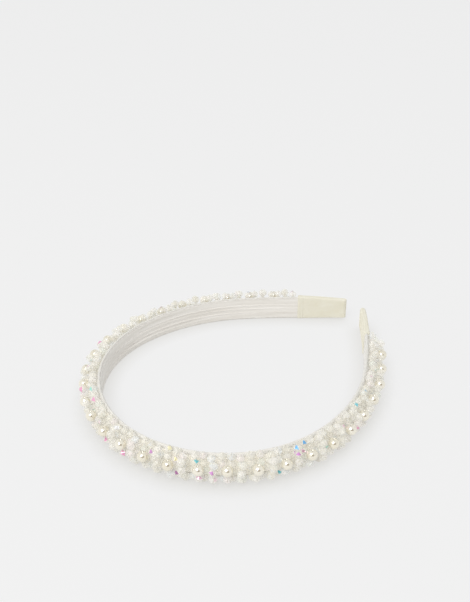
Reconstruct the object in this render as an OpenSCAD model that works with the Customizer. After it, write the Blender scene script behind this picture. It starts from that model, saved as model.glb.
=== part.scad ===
// Beaded headband: an open egg-shaped band that lies on its side edge.
// Millimetres. +Z is up, along the band's width. +Y runs from the crown to the two tips.
// The origin is on the resting plane, in the middle of the band's plan.
// The band follows one line of three tangent arcs on each side of the crown. Places on it are given
// by s, the length along the inner face from the middle of the crown (plus is the right side),
// by off, the distance outwards from the inner face, and by z.

/* [Plan of the band] */
// Radius of the inner face over the crown, a quarter turn on each side
crown_r = 56.5; // [55:0.1:65]
// Radius of the inner face of the middle of each arm
arm_r = 78.2; // [75:0.1:95]
// Radius of the inner face near each tip
tip_r = 260; // [220:1:400]
// Length of the inner face from the middle of the crown to a tip
half_length = 192.5; // [192:0.5:197]
// Place of the crown's inner face on Y
crown_y = -67.3; // [-80:0.1:-50]
// Gap between the crown's strips and an arm's strips at the flex line
flex_gap = 0.6; // [0.4:0.1:1.5]

/* [Strip, cover and tape] */
// Width of the satin cover, from the resting plane up
band_h = 12.4; // [12:0.1:13.5]
// Thickness of the strip, cover and tape together
band_t = 1.9; // [1.5:0.1:3]
// Thickness of the cover on the inner face
cover_t = 0.4; // [0.3:0.05:0.8]
// Depth of the cover's folded rims, above and below the strip
rim_h = 1.6; // [1:0.1:2.5]
// Thickness of the springy strip
core_t = 0.95; // [0.6:0.05:1.3]
// Clearance between the strip, the tape and the cover
fit_gap = 0.05; // [0.02:0.01:0.1]

/* [Beads] */
// Distance between two columns of beads, measured at the line of the pearls' middles
column_pitch = 3.98; // [3.97:0.01:4]
// Distance of that line from the inner face
pitch_off = 8; // [7.5:0.1:8]
// Extra distance between the two columns beside a flex line
flex_extra = 1.2; // [1.2:0.1:1.4]
// Number of columns on the crown, on each side of the middle one
crown_columns = 14; // [14:3:17]
// Number of the last column on each side of the middle one
last_column = 46; // [43:1:46]
// Number of crystal beads in a column
rows = 4; // [4:2:4]
// Distance between the middles of two crystals in a column
row_pitch = 3.6; // [3.6:0.01:3.64]
// Height of the middle of a column
column_z = 7.25; // [7.25:0.05:7.5]
// Diameter of a crystal
crystal_d = 3.7; // [3:0.1:3.7]
// Height of a crystal along its hole
crystal_t = 3.46; // [3:0.02:3.46]
// Diameter of a crystal's flat ends
crystal_end_d = 1.9; // [1.5:0.1:2.2]
// Size of the raised crystals, on every third column and below each pearl, as a share
raised = 0.94; // [0.85:0.01:0.95]
// Diameter of a pearl
pearl_d = 4.8; // [4:0.1:5]
// Height of the middle of the pearls
pearl_z = 8.7; // [8.5:0.1:9]
// Diameter of the hole through a bead
hole_d = 0.9; // [0.6:0.05:1]
// Diameter of the sewing thread
thread_d = 0.2; // [0.1:0.02:0.2]

/* [Ribbon wraps on the tips] */
// Length of a wrap
wrap_l = 24.5; // [15:0.5:24.5]
// Height of a wrap at its inner end
wrap_h = 13; // [12.4:0.1:15]
// How much a wrap narrows at the tip, above and below
wrap_taper = 1.1; // [0:0.1:1.5]
// Thickness of the wrap on the inner and outer face
wrap_t = 0.35; // [0.2:0.05:0.6]
// How far the strip ends before the end of the wrap
tip_cover = 2.5; // [1:0.5:5]

/* [Hidden] */
$fn = 48;
far = 400;                                 // reach of the wedges that cut the rings
turn = 90;                                 // the crown's arc ends after a quarter turn
bend = [0.8, 0.6];                         // outward direction where the middle arc ends
bend_angle = turn + atan2(bend[1], bend[0]);
c1 = [0, crown_y + crown_r];               // centres of the three arcs on the right side
c2 = c1 + (crown_r - arm_r) * [1, 0];
c3 = c2 + (arm_r - tip_r) * bend;
l1 = crown_r * turn * PI / 180;            // lengths along the inner face where the arcs end
l2 = l1 + arm_r * (bend_angle - turn) * PI / 180;
core_off = cover_t + fit_gap;              // the strip's inner face
core_offs = [core_off, core_off + core_t];
tape_off = core_offs[1] + fit_gap;         // the tape's inner face
inside_z = [rim_h, band_h - rim_h];        // the cover's channel
core_z = inside_z + fit_gap * 2 * [1, -1];
tape_z = inside_z + fit_gap * [1, -1];
wrap_s = half_length - wrap_l;
core_end = half_length - tip_cover;
bead_gap = 0.03;                           // between a bead and the tape
crystal_off = band_t + bead_gap + crystal_d / 2;
raised_off = crystal_off + raised * crystal_t / 2 + 0.9 * crystal_d / 2 + bead_gap;
raised_top = raised_off + raised * crystal_t / 2 + 0.1;
touch = (crystal_d + pearl_d) / 2 + 2 * bead_gap;  // between the middles of a pearl and a crystal
half_step = column_pitch / 2 * (crown_r + crystal_off) / (crown_r + pitch_off);
pearl_off = crystal_off + sqrt(touch * touch - half_step * half_step);
apart = (1 + raised) * norm([crystal_end_d, crystal_t]) / 2;  // at which two crystals never touch
low_off = crystal_off + sqrt(pow(apart, 2) - pow(half_step, 2) - pow(row_pitch / 2, 2));
shoulder = [0.84, 0.61];                   // a crystal's shoulder, as shares of its radius and half height
equator = 0.17;                            // half height of a crystal's straight middle, as a share
pearl_tie = pearl_d / 2 + thread_d / 2;    // where a pearl's thread is tied down, from its middle
over = 0.5;                                // how far a cut runs past what it cuts

function angle_at(s) = s < l1 ? s / crown_r * 180 / PI
    : s < l2 ? turn + (s - l1) / arm_r * 180 / PI
    : bend_angle + (s - l2) / tip_r * 180 / PI;
function centre_at(s) = s < l1 ? c1 : s < l2 ? c2 : c3;
function radius_at(s) = s < l1 ? crown_r : s < l2 ? arm_r : tip_r;
function out_of(a) = [sin(a), -cos(a)];
function point_at(s, off) = centre_at(s) + (radius_at(s) + off) * out_of(angle_at(s));
// The inner face's length at a length along the line of the pearls' middles
pitch_1 = l1 + pitch_off * turn * PI / 180;
pitch_2 = l2 + pitch_off * bend_angle * PI / 180;
function inner(t) = t < pitch_1 ? t * crown_r / (crown_r + pitch_off)
    : t < pitch_2 ? l1 + (t - pitch_1) * arm_r / (arm_r + pitch_off)
    : l2 + (t - pitch_2) * tip_r / (tip_r + pitch_off);
function column_s(k) = inner(column_pitch * k + (k > crown_columns ? flex_extra : 0));
flex_s = inner(column_pitch * (crown_columns + 0.5) + flex_extra / 2);  // the line where an arm flexes

// A flat ring about one arc's centre, cut by a wedge between two outward directions
module ring(c, r, offs, from, to) {
  intersection() {
    difference() {
      translate(c) circle(r = r + offs[1]);
      translate(c) circle(r = r + offs[0]);
    }
    polygon([c, c + far * from, c + far * (from + to) / norm(from + to), c + far * to]);
  }
}

// A strip of the right side between two lengths, two distances outwards and two heights
module strip(s, offs, z) {
  from = out_of(angle_at(s[0]));
  to = out_of(angle_at(s[1]));
  translate([0, 0, z[0]]) linear_extrude(z[1] - z[0]) {
    if (s[0] < l1) ring(c1, crown_r, offs, from, s[1] < l1 ? to : [1, 0]);
    if (s[0] < l2 && s[1] > l1) ring(c2, arm_r, offs, s[0] > l1 ? from : [1, 0], s[1] < l2 ? to : bend);
    if (s[1] > l2) ring(c3, tip_r, offs, s[0] > l2 ? from : bend, to);
  }
}

// The same over the crown, from one flex line to the other
module crown_strip(offs, z, more = 0) {
  a = angle_at(flex_s - flex_gap / 2 + more);
  translate([0, 0, z[0]]) linear_extrude(z[1] - z[0]) ring(c1, crown_r, offs, out_of(-a), out_of(a));
}

// The same on the right arm, from its flex line to a length
module arm_strip(to_s, offs, z, more = 0) strip([flex_s + flex_gap / 2 - more, to_s + more], offs, z);

// One upright shape at a length, distance outwards and height
module at(s, off, z = 0) {
  p = point_at(abs(s), off);
  translate([s < 0 ? -p[0] : p[0], p[1], z]) children();
}

// A pearl: a ball drilled through from top to bottom
module pearl() {
  difference() {
    sphere(d = pearl_d);
    cylinder(d = hole_d, h = pearl_d + over, center = true);
  }
}

// A crystal: a round bead with sloping bands and flat drilled ends
module crystal() {
  r = crystal_d / 2;
  h = crystal_t / 2;
  rotate_extrude() polygon([
    [hole_d / 2, -h], [crystal_end_d / 2, -h], [r * shoulder[0], -h * shoulder[1]], [r, -h * equator],
    [r, h * equator], [r * shoulder[0], h * shoulder[1]], [crystal_end_d / 2, h], [hole_d / 2, h]]);
}

// A finer thread that ties something down to the band, straight inwards from a distance outwards
module tie(s, off, z) {
  a = angle_at(abs(s));
  at(s, band_t, z) rotate([0, 90, s < 0 ? 3 * turn - a : a - turn])
    cylinder(d = thread_d / 2, h = off - band_t);
}

// The gaps between the crystals of a column, as heights
gaps = [for (i = [1 : rows - 1]) column_z + (i - rows / 2) * row_pitch];

// The thread of one column: up through its crystals, and tied down in the gaps between them.
// Where the column carries raised crystals, one tie holds each of them.
module column_thread(s, carries) {
  at(s, crystal_off, column_z) cylinder(d = thread_d, h = rows * row_pitch - thread_d, center = true);
  for (i = [0 : len(gaps) - 1]) if (carries || i == 0 || i == len(gaps) - 1)
    tie(s, carries ? raised_top : crystal_off, gaps[i]);
}

// The thread of one pearl: through its hole, and tied down above and below it. The crystal that
// sits lowest in the same valley has a tie of its own.
module pearl_thread(s) {
  tie(s, low_off + raised * crystal_t / 2 + 0.1, gaps[0]);
  at(s, pearl_off, pearl_z) cylinder(d = thread_d, h = 2 * pearl_tie + thread_d, center = true);
  for (up = [-1, 1]) tie(s, pearl_off, pearl_z + up * pearl_tie);
}

// The beads and threads of some columns, on the sides that are named: 1 is right and -1 is left.
// Every third column carries raised crystals, drilled outwards, that sit in its gaps. So does the
// foot of each pearl's valley.
// A pearl lies in the valley between two columns, and is named by the number halfway.
module pearls(places, sides) for (k = places) for (side = sides)
  at(side * column_s(k), pearl_off, pearl_z) pearl();
module raised_crystal(k, side, off, z) at(side * column_s(k), off, z)
  rotate([0, 90, side * (angle_at(column_s(k)) - turn)]) scale(raised) crystal();
module crystals(columns, places, sides) for (side = sides) {
  for (k = columns, row = [0 : rows - 1])
    at(side * column_s(k), crystal_off, column_z + (row - (rows - 1) / 2) * row_pitch) crystal();
  for (k = columns) if (k % 3 == 0) for (z = gaps) raised_crystal(k, side, raised_off, z);
  for (k = places) raised_crystal(k, side, low_off, gaps[0]);
}
module threads(columns, places, sides) for (side = sides) {
  for (k = columns) column_thread(side * column_s(k), k % 3 == 0);
  for (k = places) pearl_thread(side * column_s(k));
}

// The wrap's slanting upper and lower edges, as a block across the band
module wrap_block() {
  middle = (wrap_s + half_length) / 2;
  half = wrap_l / 2;
  slope = wrap_taper / wrap_l;
  at(middle, 0) rotate([90, 0, angle_at(middle)]) linear_extrude(8 * band_t, center = true) polygon([
    [-half - over, -slope * over], [half + over, wrap_taper + slope * over],
    [half + over, wrap_h - wrap_taper - slope * over], [-half - over, wrap_h + slope * over]]);
}

module on_left() mirror([1, 0, 0]) children();

// The sub-parts. Every third valley has a pearl, and the middle column belongs to the crown.
sides = [-1, 1];
crown_side = [1 : crown_columns];
arm_side = [crown_columns + 1 : last_column];
crown_valleys = [1.5 : 3 : crown_columns - 0.5];
arm_valleys = [crown_columns + 2.5 : 3 : last_column - 0.5];

module crown_core() color("#b9bcc0") crown_strip(core_offs, core_z);

module crown_cover() color("#e4e1da") difference() {
  crown_strip([0, band_t], [0, band_h]);
  crown_strip([cover_t, band_t + over], inside_z, over);
}

module crown_tape() color("#efece4") crown_strip([tape_off, band_t], tape_z);

module crown_pearls() color("#f1e8cf") pearls(crown_valleys, sides);

module crown_crystals() color("#dfe3ea") {
  crystals([0], [], [1]);
  crystals(crown_side, crown_valleys, sides);
}

module crown_threads() color("#f6f5f0") {
  threads([0], [], [1]);
  threads(crown_side, crown_valleys, sides);
}

// The right arm's strip, which runs on into the wrap
module right_core() color("#b9bcc0") arm_strip(core_end, core_offs, core_z);

module right_cover() color("#e4e1da") difference() {
  arm_strip(wrap_s, [0, band_t], [0, band_h]);
  arm_strip(wrap_s, [cover_t, band_t + over], inside_z, over);
}

module right_tape() color("#efece4") arm_strip(wrap_s, [tape_off, band_t], tape_z);
module right_pearls() color("#f1e8cf") pearls(arm_valleys, [1]);
module right_crystals() color("#dfe3ea") crystals(arm_side, arm_valleys, [1]);
module right_threads() color("#f6f5f0") threads(arm_side, arm_valleys, [1]);

// The ribbon wrapped round the right tip, with a pocket for the strip's end
module right_wrap() color("#e3ddca") difference() {
  intersection() {
    strip([wrap_s, half_length], [-wrap_t, band_t + wrap_t], [0, wrap_h]);
    wrap_block();
  }
  strip([wrap_s - over, core_end + fit_gap], core_offs + fit_gap * [-1, 1],
    core_z + fit_gap * [-1, 1]);
}

module left_core() on_left() right_core();
module left_cover() on_left() right_cover();
module left_tape() on_left() right_tape();
module left_pearls() color("#f1e8cf") pearls(arm_valleys, [-1]);
module left_crystals() color("#dfe3ea") crystals(arm_side, arm_valleys, [-1]);
module left_threads() color("#f6f5f0") threads(arm_side, arm_valleys, [-1]);
module left_wrap() on_left() right_wrap();

crown_core();
crown_cover();
crown_tape();
crown_pearls();
crown_crystals();
crown_threads();
left_core();
left_cover();
left_tape();
left_pearls();
left_crystals();
left_threads();
left_wrap();
right_core();
right_cover();
right_tape();
right_pearls();
right_crystals();
right_threads();
right_wrap();
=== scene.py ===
import math
import random

import bpy
import numpy as np
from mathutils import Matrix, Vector


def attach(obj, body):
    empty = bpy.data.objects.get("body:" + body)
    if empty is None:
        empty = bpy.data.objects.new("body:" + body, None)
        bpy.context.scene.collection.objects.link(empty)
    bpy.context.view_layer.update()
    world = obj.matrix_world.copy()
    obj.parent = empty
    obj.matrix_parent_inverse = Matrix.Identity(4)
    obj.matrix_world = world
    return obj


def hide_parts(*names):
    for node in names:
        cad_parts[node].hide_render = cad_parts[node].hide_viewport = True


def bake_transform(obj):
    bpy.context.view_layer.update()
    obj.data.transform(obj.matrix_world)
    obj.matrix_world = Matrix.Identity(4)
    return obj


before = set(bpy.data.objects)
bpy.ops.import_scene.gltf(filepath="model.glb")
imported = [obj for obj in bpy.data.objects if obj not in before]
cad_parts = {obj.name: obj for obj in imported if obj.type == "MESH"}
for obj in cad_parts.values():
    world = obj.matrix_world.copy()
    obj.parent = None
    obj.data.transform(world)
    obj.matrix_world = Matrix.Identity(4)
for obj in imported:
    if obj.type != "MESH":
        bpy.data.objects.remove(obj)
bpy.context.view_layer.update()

# The looks of a beaded headband that lies on its side edge. A place on the band is (s, off, z):
# the length s along the inner face from the crown's middle, the distance off outwards from that
# face, and the height z above the table. Each kind of piece is made once for each side.

# ---------------------------------------------------------------- sizes, in millimetres
MM = 0.001
CROWN_R, ARM_R, TIP_R = 56.5, 78.2, 260.0     # the inner face's three arcs on each side
CROWN_Y = -67.3                   # where the inner face stands at the crown's middle
HALF = 192.5                      # s at a tip
BAND_T, BAND_H = 1.9, 12.4        # thickness without the beads, and height
MID_Z = BAND_H / 2

LINING_EDGE = 0.75                # the lining's face ends this far from the band's two edges
STRIP_IN, STRIP_OUT, STRIP_LOW, STRIP_TOP = 0.5, 1.38, 1.75, 10.65
STRIP_END = HALF - 2.5
TAPE_IN, TAPE_LOW, TAPE_TOP = 1.45, 1.66, 10.74
COVER_TUCK, TAPE_TUCK = 1.5, 0.5  # how far they reach under the wraps
COVER_STEPS, LINING_STEPS, TAPE_STEPS, STRIP_STEPS = 240, 46, 170, 120
FADE_LOW, FADE_TOP = (0.7, 1.5), (10.9, 11.7)     # heights over which the wrinkles die out
PUCKER_LOW, PUCKER_TOP = 1.0, 11.4                # and where the puckers are at their highest

WRAP_L, WRAP_H = 24.5, 13.0
WRAP_TAPER = 1.1                  # how far each edge of the wrap draws in by the tip
WRAP_S = HALF - WRAP_L
RIBBON_T = 0.30                   # how far the wrap's faces stand outside the band's own
HEM, HEM_STEP = 2.6, 0.14         # the ribbon lies double over this length, and stands out this much more
FOLD_R = 0.3                      # the hem's folded edge
TIP_ROUND = 1.35                  # the wrap closes over this length
WRAP_EDGE = 0.55                  # height of the rounding along the wrap's edges

PITCH, PITCH_OFF = 3.98, 8.0      # from column to column, along the line of the pearls' middles
EXTRA = 1.2                       # more room between the two columns beside the flex line
CROWN_COLUMNS, LAST = 14, 46      # the last column on the crown, and on the arm
ROWS, ROW_PITCH, COLUMN_Z = 4, 3.6, 7.25
CRYSTAL_R, CRYSTAL_H, CRYSTAL_END = 1.85, 1.73, 0.95      # radius, half height, radius at an end
CRYSTAL_OFF = BAND_T + 0.03 + CRYSTAL_R
CUT_SIDES, CUT_WIDER = 6, 1.06    # a six-sided cut is wider at its corners
CUT_END, CUT_WAIST = 0.9, 0.5     # share of the end's radius, and half height of the middle facets
BORE_R = 0.26
LOW_Z, TOP_Z = 2.0, 12.75         # no crystal's middle stands lower or higher
RAISED, RAISED_OFF = 0.94, 7.10   # scale and place of the crystals on top of a column
LOW_OFF, LOW_BEAD_Z = 6.60, 3.65  # and of the one below each pearl
PEARL_R, PEARL_Z, PEARL_OFF = 2.4, 8.7, 7.668
PEARLS = 15                       # on each side
PEARL_SIDES, PEARL_STEPS = 36, 20
HOLE_R = 0.45
PEARL_TILT, CRYSTAL_TILT, STEEPEST = 0.05, 0.12, 0.2      # usual leans, and the greatest one
THREAD_R, THREAD_SIDES = 0.11, 6
SEWN_OFF = 1.85                   # the threads start just inside the tape

# how far the beads stray from their places, as ranges of random draws
COLUMN_SWAY, COLUMN_RISE, COLUMN_OUT = (-0.26, 0.26), (-0.35, 0.45), (-0.02, 0.35)
TOP_LIFT, TOP_INWARDS, END_ARCH = (0.1, 0.5), 0.42, (0.5, 1.4)
CRYSTAL_ALONG, CRYSTAL_OUT, CRYSTAL_SIZE = (-0.18, 0.18), (-0.04, 0.22), (0.86, 1.0)
RAISED_ALONG, RAISED_OUT, RAISED_UP, RAISED_SIZE = (-0.75, 0.75), (-0.15, 0.75), (-0.4, 0.4), (0.92, 1.06)
LOW_ALONG, LOW_OUT, LOW_UP, LOW_SIZE = (-0.6, 0.6), (-0.2, 0.5), (-0.3, 0.3), (0.96, 1.04)
PEARL_ALONG, PEARL_OUT, PEARL_UP, PEARL_SIZE = (-0.35, 0.35), (0.0, 0.5), (-0.35, 0.35), (0.97, 1.0)

FLEX_OFF = 0.925                  # the hinge line stands in the strip's middle
BLEND = 34.0                      # half the length of the stretch round the flex line

L1 = CROWN_R * math.pi / 2
A2 = math.pi / 2 + math.atan2(0.6, 0.8)
L2 = L1 + ARM_R * (A2 - math.pi / 2)
C1 = np.array([0.0, CROWN_Y + CROWN_R])
C2 = C1 + (CROWN_R - ARM_R) * np.array([1.0, 0.0])
C3 = C2 + (ARM_R - TIP_R) * np.array([0.8, 0.6])
P1, P2 = L1 + PITCH_OFF * math.pi / 2, L2 + PITCH_OFF * A2

SIDES = {"left": -1, "right": 1}
BEAD_SEEDS = {"left": 202, "right": 101}
WRAP_SEEDS = {"left": 6, "right": 5}


def inner(t):
    """Length along the inner face at a length along the line of the pearls' middles."""
    if t < P1:
        return t * CROWN_R / (CROWN_R + PITCH_OFF)
    if t < P2:
        return L1 + (t - P1) * ARM_R / (ARM_R + PITCH_OFF)
    return L2 + (t - P2) * TIP_R / (TIP_R + PITCH_OFF)


FLEX_S = inner(PITCH * (CROWN_COLUMNS + 0.5) + EXTRA / 2)


def angle(s):
    """How far the band has turned at length s."""
    s = np.asarray(s, float)
    return np.where(s < L1, s / CROWN_R,
                    np.where(s < L2, math.pi / 2 + (s - L1) / ARM_R, A2 + (s - L2) / TIP_R))


def place(s, off, z, side):
    """Points in metres at length s, distance outwards off and height z."""
    s, off, z = np.broadcast_arrays(np.asarray(s, float), np.asarray(off, float), np.asarray(z, float))
    a = angle(s)
    first, second = (s < L1)[..., None], (s < L2)[..., None]
    c = np.where(first, C1, np.where(second, C2, C3))
    r = np.where(first[..., 0], CROWN_R, np.where(second[..., 0], ARM_R, TIP_R)) + off
    x = c[..., 0] + r * np.sin(a)
    y = c[..., 1] - r * np.cos(a)
    return np.stack([side * x, y, z], -1) * MM


def smooth(a, b, x):
    """0 below a, 1 above b, and an even rise between them."""
    t = np.clip((np.asarray(x, float) - a) / (b - a), 0, 1)
    return t * t * (3 - 2 * t)


# ---------------------------------------------------------------- shader helpers
def new_material(name):
    m = bpy.data.materials.new(name)
    m.use_nodes = True
    nt = m.node_tree
    return m, nt, nt.nodes["Principled BSDF"]


def node(nt, kind, **sets):
    """A node with its properties, or else its input sockets, set by name."""
    n = nt.nodes.new(kind)
    for key, value in sets.items():
        if hasattr(n, key):
            setattr(n, key, value)
        else:
            n.inputs[key].default_value = value
    return n


def link(nt, a, b):
    nt.links.new(a, b)


def feed(nt, sock, value):
    """A number or a colour goes on the socket itself, and anything else is linked to it."""
    if isinstance(value, (int, float)):
        sock.default_value = value
    elif isinstance(value, tuple):
        sock.default_value = (*value, 1)
    else:
        link(nt, value, sock)


def srgb(r, g, b):
    """A colour given in 0 to 255 steps, as linear light."""
    def linear(v):
        v = v / 255
        return v / 12.92 if v <= 0.04045 else ((v + 0.055) / 1.055) ** 2.4
    return linear(r), linear(g), linear(b)


def ramp(nt, source, stops):
    r = nt.nodes.new("ShaderNodeValToRGB")
    e = r.color_ramp.elements
    while len(e) < len(stops):
        e.new(0.5)
    for el, (pos, col) in zip(e, stops):
        el.position = pos
        el.color = (*col, 1)
    link(nt, source, r.inputs["Fac"])
    return r.outputs["Color"]


def uv_scaled(nt, su, sv):
    """UV in millimetres along and across the band, scaled."""
    uv = node(nt, "ShaderNodeUVMap", uv_map="band")
    mp = node(nt, "ShaderNodeMapping", Scale=(su, sv, 1))
    link(nt, uv.outputs["UV"], mp.inputs["Vector"])
    return mp.outputs["Vector"]


def object_coord(nt):
    return nt.nodes.new("ShaderNodeTexCoord").outputs["Object"]


def noise(nt, at, **sets):
    n = node(nt, "ShaderNodeTexNoise", **sets)
    link(nt, at, n.inputs["Vector"])
    return n.outputs["Fac"]


def mix_rgb(nt, fac, a, b):
    m = node(nt, "ShaderNodeMix", data_type="RGBA")
    feed(nt, m.inputs["Factor"], fac)
    feed(nt, m.inputs[6], a)
    feed(nt, m.inputs[7], b)
    return m.outputs[2]


def math_node(nt, op, a, b=0.0):
    m = node(nt, "ShaderNodeMath", operation=op)
    feed(nt, m.inputs[0], a)
    feed(nt, m.inputs[1], b)
    return m.outputs[0]


def map_range(nt, value, low, high):
    m = nt.nodes.new("ShaderNodeMapRange")
    m.inputs["To Min"].default_value = low
    m.inputs["To Max"].default_value = high
    link(nt, value, m.inputs["Value"])
    return m.outputs["Result"]


def weave_height(nt, per_mm_u, per_mm_v):
    """Plain weave: warp and weft threads that pass over each other in turn."""
    v = uv_scaled(nt, per_mm_u * math.pi, per_mm_v * math.pi)
    sep = nt.nodes.new("ShaderNodeSeparateXYZ")
    link(nt, v, sep.inputs[0])
    su = math_node(nt, "SINE", sep.outputs["X"])
    sv = math_node(nt, "SINE", sep.outputs["Y"])
    warp = math_node(nt, "ABSOLUTE", su)
    weft = math_node(nt, "ABSOLUTE", sv)
    over = math_node(nt, "GREATER_THAN", math_node(nt, "MULTIPLY", su, sv), 0.0)
    under = math_node(nt, "SUBTRACT", 1.0, over)
    return math_node(nt, "ADD", math_node(nt, "MULTIPLY", over, warp),
                     math_node(nt, "MULTIPLY", under, weft))


def bump(nt, height, distance, strength=1.0, normal=None):
    """A bump normal, its distance in millimetres."""
    b = node(nt, "ShaderNodeBump", Distance=distance * MM, Strength=strength)
    link(nt, height, b.inputs["Height"])
    if normal is not None:
        link(nt, normal, b.inputs["Normal"])
    return b.outputs["Normal"]


# ---------------------------------------------------------------- materials
def make_satin():
    """The lining: long pale streaks, soft blots and a fine weave."""
    m, nt, p = new_material("satin_lining")
    streak = noise(nt, uv_scaled(nt, 0.03, 0.55), Scale=1.0, Detail=4.0, Roughness=0.6)
    blot = noise(nt, uv_scaled(nt, 0.12, 0.25), Scale=1.0, Detail=2.0, Roughness=0.5)
    base = ramp(nt, streak, [(0.3, srgb(216, 212, 205)), (0.5, srgb(228, 225, 219)),
                             (0.72, srgb(238, 236, 232))])
    base = mix_rgb(nt, math_node(nt, "MULTIPLY", blot, 0.35), base, srgb(236, 231, 222))
    link(nt, base, p.inputs["Base Color"])
    fine = noise(nt, uv_scaled(nt, 0.6, 9.0), Scale=1.0, Detail=3.0, Roughness=0.7)
    weave = bump(nt, weave_height(nt, 7.0, 2.2), 0.012, 0.5)
    link(nt, bump(nt, fine, 0.05, 0.28, weave), p.inputs["Normal"])
    link(nt, map_range(nt, streak, 0.36, 0.56), p.inputs["Roughness"])
    p.inputs["Sheen Weight"].default_value = 0.25
    p.inputs["Sheen Roughness"].default_value = 0.4
    p.inputs["Specular IOR Level"].default_value = 0.45
    return m


def make_fold():
    """The same satin where it is folded over the band's edges."""
    m, nt, p = new_material("satin_fold")
    cloud = noise(nt, uv_scaled(nt, 0.35, 0.8), Scale=1.0, Detail=3.0, Roughness=0.6)
    link(nt, ramp(nt, cloud, [(0.3, srgb(216, 213, 206)), (0.7, srgb(227, 225, 219))]),
         p.inputs["Base Color"])
    link(nt, bump(nt, weave_height(nt, 3.4, 3.4), 0.03, 0.6), p.inputs["Normal"])
    p.inputs["Roughness"].default_value = 0.62
    p.inputs["Sheen Weight"].default_value = 0.3
    return m


def make_tape():
    """The woven tape, with a faint painted glow that stands in for the light the beads let through and
    lightens the shade between them.
    """
    m, nt, p = new_material("bead_tape")
    cloud = noise(nt, uv_scaled(nt, 0.5, 0.9), Scale=1.0, Detail=3.0, Roughness=0.6)
    link(nt, ramp(nt, cloud, [(0.3, srgb(226, 222, 210)), (0.7, srgb(243, 240, 231))]),
         p.inputs["Base Color"])
    link(nt, bump(nt, weave_height(nt, 2.4, 2.4), 0.06, 0.8), p.inputs["Normal"])
    p.inputs["Roughness"].default_value = 0.75
    p.inputs["Sheen Weight"].default_value = 0.2
    # painted glow: a faint emission that lightens the shade between the beads
    p.inputs["Emission Color"].default_value = (1, 0.96, 0.88, 1)
    p.inputs["Emission Strength"].default_value = 0.2
    return m


def make_ribbon():
    """Matte cream ribbon."""
    m, nt, p = new_material("cream_ribbon")
    cloud = noise(nt, uv_scaled(nt, 0.12, 0.2), Scale=1.0, Detail=4.0, Roughness=0.6)
    fine = noise(nt, uv_scaled(nt, 1.2, 2.6), Scale=1.0, Detail=2.0, Roughness=0.6)
    base = ramp(nt, cloud, [(0.3, srgb(225, 221, 202)), (0.55, srgb(229, 226, 210)),
                            (0.75, srgb(234, 232, 219))])
    base = mix_rgb(nt, math_node(nt, "MULTIPLY", fine, 0.18), base, srgb(214, 207, 186))
    link(nt, base, p.inputs["Base Color"])
    weave = bump(nt, weave_height(nt, 3.6, 3.6), 0.022, 0.55)
    link(nt, bump(nt, fine, 0.03, 0.4, weave), p.inputs["Normal"])
    p.inputs["Roughness"].default_value = 0.68
    p.inputs["Sheen Weight"].default_value = 0.3
    p.inputs["Sheen Roughness"].default_value = 0.5
    p.inputs["Sheen Tint"].default_value = (*srgb(255, 248, 228), 1)
    return m


def make_pearl():
    """Ivory lustre under a clear coat, with a slightly different tone for each pearl."""
    m, nt, p = new_material("ivory_pearl")
    tone = node(nt, "ShaderNodeAttribute", attribute_name="bead")
    cloud = noise(nt, object_coord(nt), Scale=420.0, Detail=3.0, Roughness=0.55)
    base = ramp(nt, tone.outputs["Fac"], [(0.0, srgb(238, 231, 210)), (0.5, srgb(242, 236, 218)),
                                          (1.0, srgb(245, 240, 225))])
    base = mix_rgb(nt, math_node(nt, "MULTIPLY", cloud, 0.22), base, srgb(248, 243, 232))
    link(nt, base, p.inputs["Base Color"])
    link(nt, bump(nt, cloud, 0.02, 0.08), p.inputs["Normal"])
    p.inputs["Roughness"].default_value = 0.15
    p.inputs["Metallic"].default_value = 0.62
    p.inputs["Specular IOR Level"].default_value = 0.7
    p.inputs["Coat Weight"].default_value = 0.7
    p.inputs["Coat Roughness"].default_value = 0.04
    p.inputs["Coat IOR"].default_value = 1.7
    return m


def make_crystal():
    """Milky cut glass, each facet with its own faint tint, clear enough to light the gaps, and with a
    faint painted glow that lightens its shade.
    """
    m, nt, p = new_material("milky_crystal")
    tint = node(nt, "ShaderNodeAttribute", attribute_name="tint")
    link(nt, tint.outputs["Color"], p.inputs["Base Color"])
    cloud = noise(nt, object_coord(nt), Scale=900.0, Detail=2.0)
    link(nt, bump(nt, cloud, 0.02, 0.08), p.inputs["Normal"])
    p.inputs["Alpha"].default_value = 0.44
    p.inputs["Transmission Weight"].default_value = 0.05
    # painted glow: a faint warm emission that lightens the beads' shade
    p.inputs["Emission Color"].default_value = (1, 0.988, 0.942, 1)
    p.inputs["Emission Strength"].default_value = 0.125
    p.inputs["Roughness"].default_value = 0.26
    p.inputs["IOR"].default_value = 1.46
    return m


def make_painted_glint():
    """The few facets that show one bright colour of their rainbow coating: the colour is the coating's
    own, its brightness a painted glint.
    """
    m, nt, p = new_material("painted_glint_facet")
    tint = node(nt, "ShaderNodeAttribute", attribute_name="tint")
    cloud = noise(nt, object_coord(nt), Scale=700.0, Detail=2.0)
    link(nt, mix_rgb(nt, math_node(nt, "MULTIPLY", cloud, 0.25), tint.outputs["Color"],
                     srgb(235, 240, 248)), p.inputs["Base Color"])
    p.inputs["Metallic"].default_value = 0.3
    p.inputs["Roughness"].default_value = 0.12
    p.inputs["Coat Weight"].default_value = 0.5
    p.inputs["Coat Roughness"].default_value = 0.02
    return m


def make_thread():
    """Twisted sewing thread."""
    m, nt, p = new_material("sewing_thread")
    wave = node(nt, "ShaderNodeTexWave", bands_direction="DIAGONAL", Scale=900.0, Distortion=1.0)
    link(nt, object_coord(nt), wave.inputs["Vector"])
    link(nt, ramp(nt, wave.outputs["Fac"], [(0.0, srgb(222, 217, 205)), (1.0, srgb(244, 241, 233))]),
         p.inputs["Base Color"])
    p.inputs["Roughness"].default_value = 0.6
    return m


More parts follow.
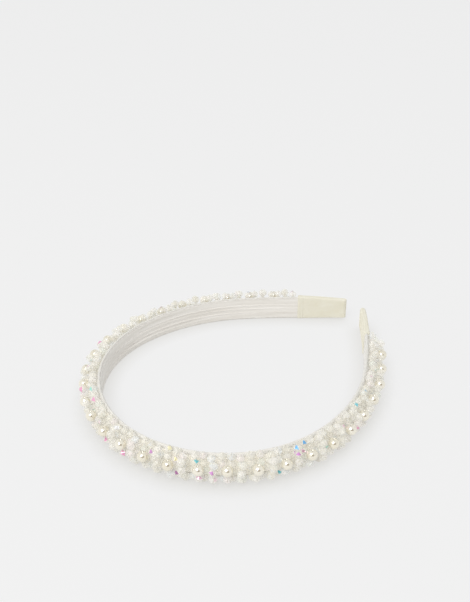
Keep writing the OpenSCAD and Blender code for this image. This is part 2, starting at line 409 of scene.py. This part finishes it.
def make_steel():
    """Spring steel, brushed along its length."""
    m, nt, p = new_material("spring_strip")
    brushed = noise(nt, uv_scaled(nt, 0.3, 12.0), Scale=1.0, Detail=4.0)
    link(nt, ramp(nt, brushed, [(0.3, (0.42, 0.43, 0.45)), (0.7, (0.55, 0.56, 0.58))]),
         p.inputs["Base Color"])
    p.inputs["Metallic"].default_value = 1.0
    p.inputs["Roughness"].default_value = 0.35
    return m


SATIN, FOLD, TAPE, RIBBON = make_satin(), make_fold(), make_tape(), make_ribbon()
PEARL, CRYSTAL, PAINTED_GLINT, THREAD = make_pearl(), make_crystal(), make_painted_glint(), make_thread()
STEEL = make_steel()


# ---------------------------------------------------------------- mesh builders
def build_mesh(name, verts, faces, materials, face_mat=None, uv=None, smooth_faces=True):
    """An object in the scene, from an array of points and a list of polygons."""
    me = bpy.data.meshes.new(name)
    me.from_pydata(verts.tolist(), [], faces)
    for m in materials:
        me.materials.append(m)
    if face_mat is not None:
        me.polygons.foreach_set("material_index", np.asarray(face_mat, np.int32))
    me.polygons.foreach_set("use_smooth", np.full(len(me.polygons), smooth_faces))
    if uv is not None:
        layer = me.uv_layers.new(name="band")
        loops = np.empty(len(me.loops), np.int32)
        me.loops.foreach_get("vertex_index", loops)
        layer.data.foreach_set("uv", uv[loops].astype(np.float32).ravel())
    me.validate()
    me.update()
    o = bpy.data.objects.new(name, me)
    bpy.context.scene.collection.objects.link(o)
    return o


def sweep(name, side, ss, rings, materials, band_mat=None, caps=(True, True)):
    """A closed profile carried along the band. rings is (stations, points, 2) of off and z."""
    m, n = rings.shape[:2]
    v = place(ss[:, None], rings[..., 0], rings[..., 1], side).reshape(-1, 3)
    # UV in millimetres; 200 keeps the length above zero on both sides
    step = np.linalg.norm(np.diff(np.concatenate([rings, rings[:, :1]], 1), axis=1), axis=2)
    around = np.concatenate([np.zeros((m, 1)), np.cumsum(step, 1)[:, :-1]], 1).mean(0)
    uv = np.stack(np.broadcast_arrays(ss[:, None] * side + 200.0, around[None, :]), -1).reshape(-1, 2)
    i, j = np.meshgrid(np.arange(m - 1), np.arange(n), indexing="ij")
    k = (j + 1) % n
    q = np.stack([i * n + j, (i + 1) * n + j, (i + 1) * n + k, i * n + k], -1).reshape(-1, 4)
    mats = ([0] * n if band_mat is None else band_mat) * (m - 1)
    faces = (q[:, ::-1] if side < 0 else q).tolist()
    ends = (list(range(n)), list(range((m - 1) * n, m * n))[::-1])
    for closed, end in zip(caps, ends):
        if closed:
            faces.append(end[::-1] if side < 0 else end)
            mats.append(0)
    return build_mesh(name, v, faces, materials, mats, uv)


def rounded_box(off0, off1, z0, z1, r):
    """A rectangle with rounded corners, as points of off and z."""
    n = 3
    corners = ((off0 + r, z0 + r, 180), (off1 - r, z0 + r, 270),
               (off1 - r, z1 - r, 0), (off0 + r, z1 - r, 90))
    pts = []
    for cx, cz, a0 in corners:
        for i in range(n + 1):
            t = math.radians(a0 + 90 * i / n)
            pts.append((cx + r * math.cos(t), cz + r * math.sin(t)))
    return np.array(pts)


def lathe(profile, n):
    """A closed profile of (radius, z) points turned round Z: vertices and faces."""
    m = len(profile)
    t = np.arange(n) * 2 * math.pi / n
    r, z = np.array(profile).T
    v = np.stack([r[None] * np.cos(t)[:, None], r[None] * np.sin(t)[:, None],
                  np.broadcast_to(z, (n, m))], -1).reshape(-1, 3)
    f = []
    for i in range(n):
        for j in range(m):
            a, b = i * m + j, i * m + (j + 1) % m
            c, d = ((i + 1) % n) * m + (j + 1) % m, ((i + 1) % n) * m + j
            f.append((a, d, c, b))
    return v, f


def cut_bead(n):
    """A round bead cut with flat facets and drilled: its vertices, its faces, and how many of
    them are cut facets. They come first, in pairs."""
    def ring(r, z, shift):
        turns = [(i + shift) * 2 * math.pi / n for i in range(n)]
        return [(r * math.cos(t), r * math.sin(t), z) for t in turns]

    rings = [(CRYSTAL_END * CUT_END, CRYSTAL_H, 0.0), (CRYSTAL_R * CUT_WIDER, CUT_WAIST, 0.5),
             (CRYSTAL_R * CUT_WIDER, -CUT_WAIST, 0.0), (CRYSTAL_END * CUT_END, -CRYSTAL_H, 0.5)]
    v = [p for r, z, shift in rings for p in ring(r, z, shift)]
    f = []
    for band in range(3):
        a, b = band * n, (band + 1) * n
        lean = rings[band + 1][2] - rings[band][2]
        for i in range(n):
            j = (i + 1) % n
            if lean > 0:
                f += [(a + i, b + i, a + j), (b + i, b + j, a + j)]
            else:
                f += [(a + i, b + i, b + j), (a + i, b + j, a + j)]
    cut = len(f)
    # the bore's two ends, and the flat rings round them
    h0 = len(v)
    v += ring(BORE_R, CRYSTAL_H, 0) + ring(BORE_R, -CRYSTAL_H, 0)
    h1, last = h0 + n, 3 * n
    for i in range(n):
        j = (i + 1) % n
        f += [(h0 + i, i, j, h0 + j), (last + i, h1 + i, h1 + j, last + j),
              (h1 + i, h0 + i, h0 + j, h1 + j)]
    return np.array(v), f, cut


def spread(shape, beads, side, rng, tilt):
    """Copies of one shape at each bead's (s, off, z, scale), turned at random about its hole.

    The hole runs up the band, or outwards where a fifth value says so. The third result is one
    random tone for each bead, on all its points."""
    v0, f0 = shape[:2]
    verts, faces, tone = [], [], []
    for s, off, z, scale, *outwards in beads:
        a = float(angle(s))
        n = np.array([side * math.sin(a), -math.cos(a), 0.0])
        t = np.array([side * math.cos(a), math.sin(a), 0.0]) * side
        up = np.array([0.0, 0.0, 1.0])
        if outwards:
            n, t, up = up, t, n * -1.0
        turn = rng.uniform(0, 2 * math.pi)
        tx, ty = (max(-STEEPEST, min(STEEPEST, rng.gauss(0, tilt))) for _ in range(2))
        c, d = math.cos(turn), math.sin(turn)
        p = v0 * scale
        x, y, w = p[:, 0] * c - p[:, 1] * d, p[:, 0] * d + p[:, 1] * c, p[:, 2]
        x, w = x + w * tx, w - x * tx
        y, w = y + w * ty, w - y * ty
        base = len(tone)
        verts.append(place(s, off, z, side) + (x[:, None] * n + y[:, None] * t + w[:, None] * up) * MM)
        faces.extend([tuple(base + i for i in face) for face in f0])
        tone.extend([rng.random()] * len(v0))
    return np.concatenate(verts), faces, np.array(tone, np.float32)


def flex_line(side):
    """The two ends of the stretch round the flex line, BLEND to each side."""
    a = float(angle(FLEX_S))
    pivot = place(FLEX_S, FLEX_OFF, MID_Z, side)
    t = np.array([side * math.cos(a), math.sin(a), 0.0])
    return tuple(pivot - t * BLEND * MM), tuple(pivot + t * BLEND * MM)


def bend_with_arm(o, name):
    start, end = flex_line(SIDES[name])
    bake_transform(o)


# ---------------------------------------------------------------- strip, cover and tape
WRINKLE_RNG = random.Random(11)
WRINKLES = [dict(z=WRINKLE_RNG.uniform(1.6, 11.0), a=WRINKLE_RNG.uniform(0.05, 0.17),
                 w=WRINKLE_RNG.uniform(0.45, 1.0), s0=WRINKLE_RNG.uniform(-200, 140),
                 length=WRINKLE_RNG.uniform(60, 170), drift=WRINKLE_RNG.uniform(-0.018, 0.018),
                 wave=WRINKLE_RNG.uniform(14, 40), ph=WRINKLE_RNG.uniform(0, 6.28))
            for _ in range(20)]
# three long pleats towards the left tip
WRINKLES += [dict(z=z, a=0.2, w=0.38, s0=-180.0, length=length, drift=0.004, wave=30.0, ph=z)
             for z, length in ((8.3, 100.0), (6.0, 75.0), (4.2, 120.0))]
# each pucker is (s, whether it is at the top edge, height, width, lean)
PUCKERS = [(WRINKLE_RNG.uniform(-168, 168), WRINKLE_RNG.choice((0, 1)), WRINKLE_RNG.uniform(0.05, 0.13),
            WRINKLE_RNG.uniform(0.6, 1.5), WRINKLE_RNG.uniform(-0.8, 0.8)) for _ in range(150)]

# the cover's outline as (off, z): over the upper rim, then down the outer side with the tape's seat
COVER_RIM = [(0.34, 11.78), (0.30, 12.0), (0.38, 12.22), (0.58, 12.37), (0.85, 12.4), (1.1, 12.3),
             (1.32, 12.08), (1.55, 11.8)]
COVER_SEAT = [(1.78, 11.4), (1.88, 10.95), (1.8, 10.78), (1.46, 10.74), (1.44, 9.0), (1.44, 6.2),
              (1.44, 3.4), (1.46, 1.66), (1.8, 1.62), (1.88, 1.45), (1.78, 1.0)]


def lining_relief(s, z):
    """How far the lining stands in from its flat face: long wrinkles and small puckers at the edges."""
    h = np.zeros(np.broadcast(s, z).shape)
    for k in WRINKLES:
        mid = k["s0"] + k["length"] / 2
        live = np.clip(1 - ((s - mid) / (k["length"] / 2)) ** 2, 0, 1)
        zc = k["z"] + k["drift"] * (s - mid) + 0.25 * np.sin(s / k["wave"] + k["ph"])
        d = (z - zc) / k["w"]
        h += k["a"] * live * (np.exp(-d ** 2) - 0.55 * np.exp(-(d - 1.35) ** 2 * 2.5))
    for s0, top, amp, w, lean in PUCKERS:
        edge = z - PUCKER_TOP if top else PUCKER_LOW - z
        h += amp * np.exp(-((s - s0 - lean * edge) / w) ** 2) * np.exp(edge / 1.2 * (edge < 0))
    return h * smooth(*FADE_LOW, z) * (1 - smooth(*FADE_TOP, z))


def make_cover(name):
    """Satin round the strip: the wrinkled lining, and the folds over both rims onto the tape."""
    side = SIDES[name]
    ss = np.linspace(0, WRAP_S + COVER_TUCK, COVER_STEPS)
    z_in = np.linspace(LINING_EDGE, BAND_H - LINING_EDGE, LINING_STEPS)
    lining = np.zeros((len(ss), len(z_in), 2))
    lining[..., 1] = z_in
    lining[..., 0] = -lining_relief(ss[:, None] * side, z_in[None]) + 0.05
    # from the lining's upper edge over the rim, down the outer side and under to the lower edge
    edge_top, edge_low = [(0.02, 11.72), (0.12, 11.80)], [(0.12, 0.60), (0.02, 0.68)]
    low_rim = [(off, BAND_H - z) for off, z in COVER_RIM[::-1]]
    loop = np.array(edge_top + COVER_RIM + COVER_SEAT + low_rim + edge_low)
    folds = np.broadcast_to(loop, (len(ss), *loop.shape)).copy()
    # the folds ripple a little along both edges
    ripple = 0.05 * np.sin(ss * 1.65 + 0.8 * np.sin(ss * 0.31)) + 0.03 * np.sin(ss * 0.53 + 1.0)
    top, low = loop[:, 1] > FADE_TOP[1], loop[:, 1] < FADE_LOW[0]
    folds[:, :, 0] += (top | low) * ripple[:, None] * 0.9
    folds[:, top, 1] -= np.abs(ripple[:, None]) * 0.8
    folds[:, low, 1] += np.abs(ripple[:, None]) * 0.3
    mats = [0] * (len(z_in) + 1) + [1] * (len(loop) - 2) + [0]
    # left open at the crown's middle, where the other side's cover carries on
    o = sweep("cover_" + name, side, ss, np.concatenate([lining, folds], 1), [SATIN, FOLD], mats,
              caps=(False, True))
    bend_with_arm(o, name)
    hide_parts("crown_cover", name + "_cover")


def make_tape_piece(name):
    """The tape that the beads are sewn to, in the cover's open side."""
    side = SIDES[name]
    ss = np.linspace(0, WRAP_S + TAPE_TUCK, TAPE_STEPS)
    prof = rounded_box(TAPE_IN, BAND_T, TAPE_LOW, TAPE_TOP, 0.16)
    rings = np.broadcast_to(prof, (len(ss), *prof.shape))
    o = sweep("tape_" + name, side, ss, rings, [TAPE])
    bend_with_arm(o, name)
    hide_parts("crown_tape", name + "_tape")


def make_strip(name):
    """The spring strip, a quarter narrower at its very end."""
    side = SIDES[name]
    ss = np.linspace(0, STRIP_END, STRIP_STEPS)
    prof = rounded_box(STRIP_IN, STRIP_OUT, STRIP_LOW, STRIP_TOP, 0.3)
    rings = np.broadcast_to(prof, (len(ss), *prof.shape)).copy()
    close = 1 - smooth(STRIP_END - 3, STRIP_END, ss) * 0.25
    rings[..., 1] = MID_Z + (rings[..., 1] - MID_Z) * close[:, None]
    o = sweep("strip_" + name, side, ss, rings, [STEEL])
    bend_with_arm(o, name)
    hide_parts("crown_core", name + "_core")


# ---------------------------------------------------------------- ribbon wraps
def wrap_stations():
    """Lengths along the wrap, close together at the hem's folded edge, at its step and at the tip."""
    return np.concatenate([WRAP_S + np.array([-0.02, 0.0, 0.05, 0.14, 0.28, 0.45]),
                           np.linspace(WRAP_S + 0.7, WRAP_S + HEM - 0.5, 8),
                           WRAP_S + HEM + np.array([-0.32, -0.18, -0.06, 0.06, 0.2, 0.4]),
                           np.linspace(WRAP_S + HEM + 0.8, HALF - 1.7, 60),
                           HALF - TIP_ROUND * (1 - np.sin(np.linspace(0.12, 1, 9) * math.pi / 2))])


def make_wrap(name):
    """A ribbon wrap: two softly swollen faces that meet along both edges and close over the tip."""
    side = SIDES[name]
    rng = random.Random(WRAP_SEEDS[name])
    ss = wrap_stations()
    u = (ss - WRAP_S) / WRAP_L
    low, high = WRAP_TAPER * np.clip(u, 0, 1), WRAP_H - WRAP_TAPER * np.clip(u, 0, 1)
    mid_off = BAND_T / 2
    n_face, n_edge = 34, 8
    zz = np.linspace(0, 1, n_face)
    # the two layers of ribbon meet along each edge, in a shallow groove
    e = np.linspace(0, 1, n_edge + 2)[1:-1]
    arc = WRAP_EDGE * np.sin(e * math.pi) ** 0.55
    seam = 0.16 * np.exp(-((e - 0.5) / 0.1) ** 2)
    rings = np.zeros((len(ss), 2 * n_face + 2 * n_edge, 2))
    ph = [rng.uniform(0, 6.28) for _ in range(4)]
    for i, s in enumerate(ss):
        # start rises to 1 round the hem's folded edge, and tip rises to 1 at the wrap's closed end
        d = s - WRAP_S
        fold = HEM_STEP * (1 - smooth(HEM - 0.18, HEM + 0.18, d))
        start = math.sqrt(max(0.0, 1 - (max(0.0, FOLD_R - d) / FOLD_R) ** 2))
        tip = max(0.0, s - (HALF - TIP_ROUND)) / TIP_ROUND
        thick = (BAND_T / 2 + RIBBON_T + fold) * (0.86 + 0.14 * start)
        thick *= math.sqrt(max(0.0, 1 - tip ** 2)) * 0.97 + 0.03
        lo, hi = low[i] + 0.25 * tip ** 3, high[i] - 0.25 * tip ** 3
        lo += (1 - start) * 0.12
        hi -= (1 - start) * 0.12
        z = lo + WRAP_EDGE + (hi - lo - 2 * WRAP_EDGE) * zz
        swell = 0.07 * np.sin(zz * math.pi) ** 0.6
        soft_in = 0.035 * np.sin(0.42 * d + ph[0] + 2.2 * zz) + 0.03 * np.sin(0.23 * d - 3.1 * zz + ph[1])
        soft_out = 0.035 * np.sin(0.37 * d + ph[2] + 2.6 * zz) + 0.03 * np.sin(0.27 * d - 2.7 * zz + ph[3])
        groove = -0.06 * math.exp(-((d - HEM - 0.12) / 0.16) ** 2)         # beside the hem
        inn = mid_off - (thick + swell * (1 - tip) + soft_in * (1 - tip) + groove)
        out = mid_off + (thick + swell * (1 - tip) + soft_out * (1 - tip) + groove)
        rings[i, :n_face] = np.stack([inn, z], -1)
        rings[i, n_face + n_edge:2 * n_face + n_edge] = np.stack([out[::-1], z[::-1]], -1)
        dip = seam * (thick > 0.4)
        a, b = inn[-1], out[-1]
        rings[i, n_face:n_face + n_edge] = np.stack([a + (b - a) * e, z[-1] + arc - dip], -1)
        a, b = out[0], inn[0]
        rings[i, 2 * n_face + n_edge:] = np.stack([a + (b - a) * e, z[0] - arc + dip], -1)
    o = sweep("wrap_" + name, side, ss, rings, [RIBBON])
    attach(o, name + "_arm")
    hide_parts(name + "_wrap")


# ---------------------------------------------------------------- beads
GLINT_CHANCES = (0,) * 7 + (1,)   # how many painted glints a crystal may have
ODD_FACETS = 0.45                 # share of the facets that draw a tint of their own
# painted glint colours, each with its weight in the draw
GLINT_COLOURS = [(srgb(85, 168, 224), 4), (srgb(100, 205, 216), 4), (srgb(150, 225, 205), 3),
           (srgb(212, 138, 208), 5), (srgb(240, 160, 198), 6), (srgb(246, 238, 190), 7),
           (srgb(168, 184, 240), 3), (srgb(255, 255, 255), 4), (srgb(165, 222, 250), 7),
           (srgb(240, 190, 215), 7)]
TINTS = [(srgb(228, 226, 217), 10), (srgb(233, 231, 226), 10), (srgb(222, 219, 207), 8),
         (srgb(231, 224, 222), 3), (srgb(222, 226, 228), 3), (srgb(225, 229, 220), 3),
         (srgb(215, 211, 198), 2)]


def pick(rng, table):
    """A value from (value, weight) pairs."""
    total = sum(w for _, w in table)
    x = rng.uniform(0, total)
    for value, w in table:
        x -= w
        if x <= 0:
            return value
    return table[-1][0]


def even(k):
    """The place of column k, with the flex line's extra room shared among its neighbours."""
    return inner(PITCH * k + EXTRA * float(smooth(CROWN_COLUMNS - 9, CROWN_COLUMNS + 10, k)))


def lay_out(side, rng):
    """One side's pearls and crystals, as (s, off, z, scale), and its threads, as lists of places.

    The columns lean and shift a little, as on a band sewn by hand. Every third column carries
    raised crystals, and the middle column belongs to the right side."""
    pearls, crystals, paths = [], [], []

    def tie_down(bead):
        """A crystal drilled outwards, with a thread from the tape through it to a small knot."""
        s, off, z = bead[:3]
        crystals.append(bead)
        paths.append([(s, SEWN_OFF, z - 0.05), (s, off - 1.0, z), (s, off + 1.66, z),
                      (s, off + 1.7, z + 0.12)])

    for k in range(0 if side > 0 else 1, LAST + 1):
        s = even(k)
        carries = k % 3 == 0
        sway, rise, out = rng.uniform(*COLUMN_SWAY), rng.uniform(*COLUMN_RISE), rng.uniform(*COLUMN_OUT)
        own = []
        for row in range(ROWS):
            top = row == ROWS - 1
            up = row - (ROWS - 1) / 2
            lift = rng.choice((0.0, 0.0, rng.uniform(*TOP_LIFT))) if top else 0.0
            arch = rng.uniform(*END_ARCH) if carries and (row == 0 or top) else 0.0
            inwards = TOP_INWARDS * (top and not carries)
            own.append((s + sway * up + rng.uniform(*CRYSTAL_ALONG),
                        CRYSTAL_OFF + out * (not top) + arch - inwards + rng.uniform(*CRYSTAL_OUT),
                        min(TOP_Z, max(LOW_Z, COLUMN_Z + up * ROW_PITCH * 0.99 + rise * (row > 0) + lift)),
                        rng.uniform(*CRYSTAL_SIZE)))
        crystals += own
        (s0, off0, _, _), (s1, off1, z1, _) = own[0], own[-1]
        # out of the tape's lower edge, up through the column and back in at the upper edge
        paths.append([(s, SEWN_OFF, 1.2), (s0, off0 - 1.0, 0.16), (s0, off0, 0.14)]
                     + [bead[:3] for bead in own]
                     + [(s1, off1, z1 + 1.68), (s1, off1 - 0.8, z1 + 1.6), (s, 1.95, 12.1)])
        for i in range(1, ROWS if carries else 0):
            lowest = i == 1
            z = COLUMN_Z + (i - ROWS / 2) * ROW_PITCH + max(rise, 0.0)
            tie_down((s + rng.uniform(*RAISED_ALONG),
                      RAISED_OFF + out + rng.uniform(*RAISED_OUT) - 0.5 * lowest,
                      z + rng.uniform(*RAISED_UP) + 0.25 * lowest,
                      RAISED * rng.uniform(*RAISED_SIZE), 1))
    for i in range(PEARLS):
        s = even(1.5 + 3 * i)
        pearls.append((s + rng.uniform(*PEARL_ALONG), PEARL_OFF + rng.uniform(*PEARL_OUT),
                       PEARL_Z + rng.uniform(*PEARL_UP), rng.uniform(*PEARL_SIZE)))
        tie_down((s + rng.uniform(*LOW_ALONG), LOW_OFF + rng.uniform(*LOW_OUT),
                  LOW_BEAD_Z + rng.uniform(*LOW_UP), RAISED * rng.uniform(*LOW_SIZE), 1))
    return pearls, crystals, paths


def make_pearls(name, pearls, rng):
    """Drilled balls, each with a tone of its own for the material."""
    t0 = math.asin(HOLE_R / PEARL_R)
    turns = [t0 + (math.pi - 2 * t0) * i / PEARL_STEPS for i in range(PEARL_STEPS + 1)]
    ball = lathe([(PEARL_R * math.sin(t), -PEARL_R * math.cos(t)) for t in turns], PEARL_SIDES)
    v, f, tone = spread(ball, pearls, SIDES[name], rng, PEARL_TILT)
    o = build_mesh("pearls_" + name, v, f, [PEARL])
    o.data.attributes.new("bead", "FLOAT", "POINT").data.foreach_set("value", tone)
    bend_with_arm(o, name)
    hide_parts("crown_pearls", name + "_pearls")


def lit_facets(corners, light):
    """How squarely each triangle of one bead faces the light."""
    normal = np.cross(corners[:, 1] - corners[:, 0], corners[:, 2] - corners[:, 0])
    mid = corners.reshape(-1, 3).mean(0)
    away = np.sign(np.sum((corners.mean(1) - mid) * normal, 1))[:, None]
    return (normal / np.linalg.norm(normal, axis=1)[:, None] * away) @ light


def make_crystals(name, crystals, rng):
    """Cut beads with a tint for each facet, and here and there a pair of facets with a painted glint in a
    colour of the rainbow coating.
    """
    side = SIDES[name]
    shape = cut_bead(CUT_SIDES)
    v, f, _ = spread(shape, crystals, side, rng, CRYSTAL_TILT)
    per, cut = len(shape[1]), shape[2]
    tint = np.ones((len(f), 4), np.float32)
    glint = np.zeros(len(f), int)
    for b, bead in enumerate(crystals):
        body = pick(rng, TINTS)
        for j in range(per):
            tint[b * per + j, :3] = pick(rng, TINTS) if rng.random() < ODD_FACETS else body
        for _ in range(rng.choice(GLINT_CHANCES)):
            # painted glint: mostly on a pair that lies towards the light, outwards and up
            a = float(angle(bead[0]))
            lit = lit_facets(v[np.array(f[b * per:b * per + cut])],
                             np.array([0.7 * side * math.sin(a), -0.7 * math.cos(a), 0.7]))
            j = max(range(0, cut, 2), key=lambda q: lit[q] + lit[q + 1] + rng.uniform(0, 0.9)) + b * per
            wide = rng.choice((2, 2, 3))
            tint[j:j + wide, :3] = pick(rng, GLINT_COLOURS)
            glint[j:j + wide] = 1
    o = build_mesh("crystals_" + name, v, f, [CRYSTAL, PAINTED_GLINT], glint, smooth_faces=False)
    # the tint attribute holds each facet's own tint and the painted glint colours
    o.data.attributes.new("tint", "FLOAT_COLOR", "FACE").data.foreach_set("color", tint.ravel())
    bend_with_arm(o, name)
    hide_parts("crown_crystals", name + "_crystals")


def make_threads(name, paths):
    """Each thread is a thin closed tube along its path, which keeps to one s or nearly."""
    side = SIDES[name]
    n = THREAD_SIDES
    verts, faces = [], []
    for path in paths:
        base = len(verts)
        for i, (s, off, z) in enumerate(path):
            a, b = path[max(0, i - 1)], path[min(len(path) - 1, i + 1)]
            d = np.array([b[1] - a[1], b[2] - a[2]])
            d /= np.linalg.norm(d)
            for q in range(n):
                t = 2 * math.pi * q / n
                along, across = THREAD_R * math.cos(t), THREAD_R * math.sin(t)
                verts.append((s + along, off - d[1] * across, z + d[0] * across))
        for i in range(len(path) - 1):
            here, there = base + i * n, base + (i + 1) * n
            for q in range(n):
                r = (q + 1) % n
                faces.append((here + q, there + q, there + r, here + r))
        faces.append(tuple(base + q for q in range(n)))
        faces.append(tuple(base + (len(path) - 1) * n + q for q in range(n))[::-1])
    o = build_mesh("threads_" + name, place(*np.array(verts).T, side),
                   [f[::-1] for f in faces] if side < 0 else faces, [THREAD])
    bend_with_arm(o, name)
    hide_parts("crown_threads", name + "_threads")


def make_beads(name):
    """Pearls, crystals and threads of one side, in this order because they share one rng."""
    rng = random.Random(BEAD_SEEDS[name])
    pearls, crystals, paths = lay_out(SIDES[name], rng)
    make_pearls(name, pearls, rng)
    make_crystals(name, crystals, rng)
    # each pearl's thread comes out between the crystals, goes up through it and back in
    for s, off, z, scale in pearls:
        r = PEARL_R * scale + 0.12
        paths.append([(s, CRYSTAL_OFF - 0.6, z - r + 0.4), (s, off - 1.2, z - r + 0.1), (s, off, z - r),
                      (s, off, z + r), (s, off - 1.2, z + r - 0.1), (s, CRYSTAL_OFF - 0.6, z + r - 0.4)])
    make_threads(name, paths)


for arm in ("left", "right"):
    make_strip(arm)
    make_cover(arm)
    make_tape_piece(arm)
    make_wrap(arm)
    make_beads(arm)


# ---------------------------------------------------------------- floor, light and camera, in metres
FLOOR_R, COVE_R = 2.4, 0.5
FLOOR_SIDES, COVE_STEPS = 64, 12
FLOOR_SHADOW_TINT, FLOOR_OPEN = (1.0, 0.985, 0.94), (1.0, 1.0, 1.0)      # painted warm shadow close to a piece, and the open floor elsewhere
# the floor's glow, dimmer in its painted shadow close to a piece, and how far that painted shadow reaches
FLOOR_GLOW, SHADOW_REACH = (0.6, 0.765), 0.009
ROOM, DIM, ROOM_LEVEL = (0.95, 0.955, 0.96), (0.14, 0.07, 0.0), 0.8
DIM_TOWARD = (0.81, -0.43, 0.35)
DIM_OUTER, DIM_INNER = 31, 20     # degrees from the dim corner's middle
KEY_AT, KEY_SIZE, KEY_POWER = (0.24, -0.68, 0.87), 0.7, 6.8
CAMERA_AT = (0.26769, -0.25132, 0.26809)
CAMERA_TURN, CAMERA_PITCH = 47.455, 31.348        # degrees
LENS, SENSOR = 58.34, 36.0        # millimetres


def make_floor():
    """A wide round floor with a low wall round it, and a painted shadow that makes it slightly darker and
    warmer close to a piece.
    """
    n = FLOOR_SIDES
    prof = [(FLOOR_R + COVE_R * math.sin(a), COVE_R - COVE_R * math.cos(a))
            for a in np.linspace(0, math.pi / 2, COVE_STEPS + 1)]
    verts = [(r * math.cos(2 * math.pi * i / n), r * math.sin(2 * math.pi * i / n), z)
             for r, z in prof for i in range(n)]
    faces = [tuple(range(n))]
    for k in range(COVE_STEPS):
        for i in range(n):
            j = (i + 1) % n
            faces.append(((k + 1) * n + i, (k + 1) * n + j, k * n + j, k * n + i))
    me = bpy.data.meshes.new("floor")
    me.from_pydata(verts, [], faces)
    me.polygons.foreach_set("use_smooth", np.array([False] + [True] * (len(faces) - 1)))
    o = bpy.data.objects.new("floor", me)
    bpy.context.scene.collection.objects.link(o)
    m, nt, p = new_material("studio_floor")
    p.inputs["Base Color"].default_value = (0.1, 0.1, 0.1, 1)
    p.inputs["Roughness"].default_value = 0.9
    p.inputs["Specular IOR Level"].default_value = 0.0
    # painted shadow: occlusion close to a piece dims and warms the floor's glow
    shadow_mask = node(nt, "ShaderNodeAmbientOcclusion", samples=8, Distance=SHADOW_REACH)
    link(nt, mix_rgb(nt, shadow_mask.outputs["AO"], FLOOR_SHADOW_TINT, FLOOR_OPEN), p.inputs["Emission Color"])
    link(nt, map_range(nt, shadow_mask.outputs["AO"], *FLOOR_GLOW), p.inputs["Emission Strength"])
    me.materials.append(m)


def make_world():
    """A pale room with one dim corner, which the pearls mirror as their small dark spot."""
    world = bpy.data.worlds.new("studio")
    bpy.context.scene.world = world
    world.use_nodes = True
    nt = world.node_tree
    sky = nt.nodes.new("ShaderNodeTexCoord")
    facing = node(nt, "ShaderNodeVectorMath", operation="DOT_PRODUCT")
    facing.inputs[1].default_value = Vector(DIM_TOWARD).normalized()
    link(nt, sky.outputs["Generated"], facing.inputs[0])
    dim = node(nt, "ShaderNodeMapRange", interpolation_type="SMOOTHSTEP")
    dim.inputs["From Min"].default_value = math.cos(math.radians(DIM_OUTER))
    dim.inputs["From Max"].default_value = math.cos(math.radians(DIM_INNER))
    link(nt, facing.outputs["Value"], dim.inputs["Value"])
    background = nt.nodes["Background"]
    link(nt, mix_rgb(nt, dim.outputs["Result"], ROOM, DIM), background.inputs["Color"])
    background.inputs["Strength"].default_value = ROOM_LEVEL


def make_key_light():
    """One round soft light, above and on the camera's left, aimed at the band's middle."""
    light = bpy.data.lights.new("key", "AREA")
    light.shape = "DISK"
    light.size = KEY_SIZE
    light.energy = KEY_POWER
    o = bpy.data.objects.new("key", light)
    o.location = KEY_AT
    o.rotation_euler = (-Vector(KEY_AT)).to_track_quat("-Z", "Y").to_euler()
    bpy.context.scene.collection.objects.link(o)


def make_camera():
    turn, pitch = math.radians(CAMERA_TURN), math.radians(CAMERA_PITCH)
    look = Vector((-math.sin(turn) * math.cos(pitch), math.cos(turn) * math.cos(pitch), -math.sin(pitch)))
    camera = bpy.data.cameras.new("camera")
    camera.lens = LENS
    camera.sensor_width = SENSOR
    camera.clip_start = 0.01
    o = bpy.data.objects.new("camera", camera)
    o.location = CAMERA_AT
    o.rotation_euler = look.to_track_quat("-Z", "Y").to_euler()
    bpy.context.scene.collection.objects.link(o)
    bpy.context.scene.camera = o


make_floor()
make_world()
make_key_light()
make_camera()
bpy.context.scene.view_settings.view_transform = "Standard"
